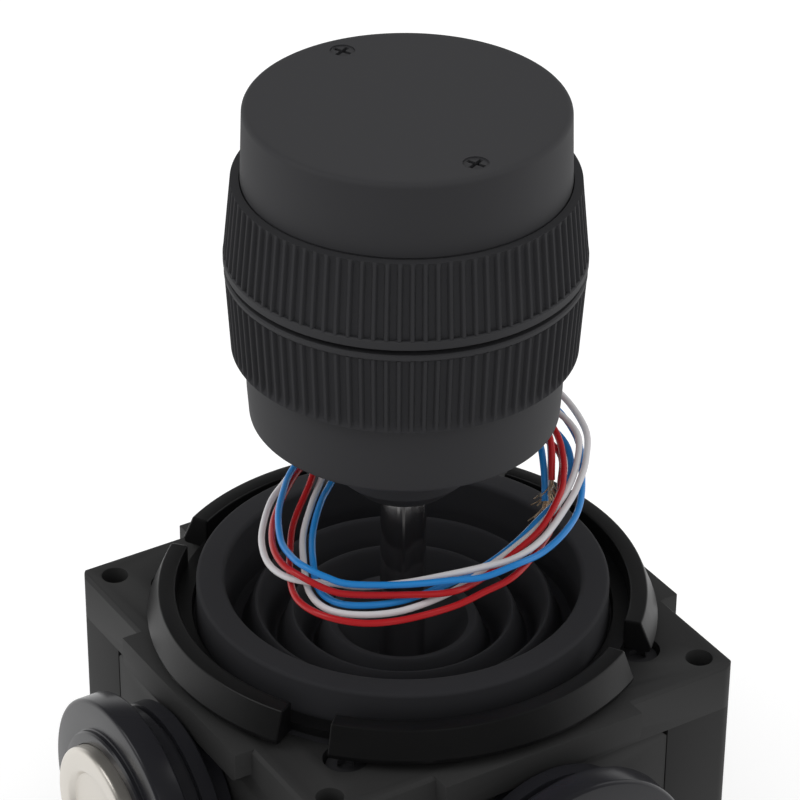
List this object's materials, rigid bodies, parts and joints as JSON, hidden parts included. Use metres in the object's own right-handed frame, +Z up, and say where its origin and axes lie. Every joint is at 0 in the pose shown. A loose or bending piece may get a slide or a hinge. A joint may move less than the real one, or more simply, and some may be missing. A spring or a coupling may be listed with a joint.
{
  "type": "joystick",
  "caption": "Panel joystick with a ribbed twist knob on a gimballed steel shaft, a folded boot in a square housing, side potentiometers and three loose leads.",
  "frame": {"origin": "centre of the four panel holes, on the top face of the plate", "axes": "+Z up along the stick; +X and +Y square to the housing's sides, with the potentiometers on the -X and -Y sides"},
  "size_m": [0.0804, 0.0804, 0.1138],
  "materials": {
    "housing_black": "fine satin black moulding",
    "boot_rubber": "soft matt black rubber",
    "knob_black": "fine-grained matt black moulding",
    "grip_rubber": "matt ribbed grip",
    "black_screw": "blackened steel",
    "bright_screw": "plated steel",
    "shaft_steel": "ground and polished steel",
    "cast_zinc": "tumbled die casting",
    "pressed_steel": "plated pressing",
    "spring_steel": "drawn wire",
    "pot_black": "satin black phenolic",
    "pot_metal": "pale plated metal cap",
    "pot_blue": "moulded case",
    "nickel_nut": "nickel plate",
    "tinned_brass": "tinned brass",
    "bearing_bronze": "sintered bronze",
    "white_acetal": "white acetal",
    "blue_pvc": "blue insulation",
    "white_pvc": "white insulation",
    "red_pvc": "red insulation"
  },
  "bodies": {
    "housing_body": {"housing": "housing_black", "top_plate": "housing_black", "plate_screws": "black_screw", "boot_ring": "housing_black", "boot": "boot_rubber", "bottom_cover": "housing_black", "cover_screws": "bright_screw", "pot_panel_x": "housing_black", "pot_panel_y": "housing_black", "bearing_panel_x": "housing_black", "bearing_panel_y": "housing_black", "bush_x": "bearing_bronze", "bush_y": "bearing_bronze", "pot_body_x": "pot_black", "pot_body_y": "pot_black", "pot_cap_x": "pot_metal", "pot_cap_y": "pot_metal", "pot_nuts": "nickel_nut", "pot_terminals": "tinned_brass", "centring_spring_x": "spring_steel", "centring_spring_y": "spring_steel"},
    "gimbal_body": {"gimbal_frame": "cast_zinc", "gimbal_shaft": "shaft_steel", "gimbal_pin": "shaft_steel", "cross_pin": "shaft_steel", "pin_clips": "black_screw", "gimbal_arm": "cast_zinc"},
    "bail_body": {"bail": "pressed_steel", "bail_shaft": "shaft_steel", "bail_pin": "shaft_steel", "bail_arm": "pressed_steel"},
    "stick_body": {"shaft": "shaft_steel", "pivot_block": "cast_zinc", "tail_roller": "white_acetal", "knob_hub": "knob_black", "hub_set_screw": "black_screw", "pot_bracket": "pressed_steel", "twist_pot": "pot_blue", "twist_nut": "nickel_nut", "twist_spring": "spring_steel", "wire_blue": "blue_pvc", "wire_white": "white_pvc", "wire_red": "red_pvc"},
    "knob_body": {"knob_cap": "knob_black", "knob_base": "knob_black", "upper_grip": "grip_rubber", "lower_grip": "grip_rubber", "cap_screws": "black_screw", "twist_shaft": "shaft_steel", "coupling_screw": "black_screw", "knob_bush": "white_acetal"}
  },
  "joints": [
    {"name": "tilt_x", "type": "hinge", "parent": "housing_body", "child": "gimbal_body", "pos_m": [0, 0, -0.016], "axis": [1, 0, 0], "range_deg": [-18, 18], "stiffness_Nm_per_rad": 0.5, "deforming": ["centring_spring_x", "boot"]},
    {"name": "tilt_y", "type": "hinge", "parent": "gimbal_body", "child": "stick_body", "pos_m": [0, 0, -0.016], "axis": [0, 1, 0], "range_deg": [-18, 18], "stiffness_Nm_per_rad": 0.5},
    {"name": "bail_swing", "type": "hinge", "parent": "housing_body", "child": "bail_body", "pos_m": [0, 0, -0.016], "axis": [0, 1, 0], "range_deg": [-18, 18], "deforming": ["centring_spring_y"]},
    {"name": "knob_twist", "type": "hinge", "parent": "stick_body", "child": "knob_body", "pos_m": [0, 0, 0.054], "axis": [0, 0, 1], "range_deg": [-40, 40], "stiffness_Nm_per_rad": 0.1, "deforming": ["twist_spring"]}
  ],
  "couplings": [
    {"joint": "bail_swing", "follows": "tilt_y", "ratio": 1}
  ]
}
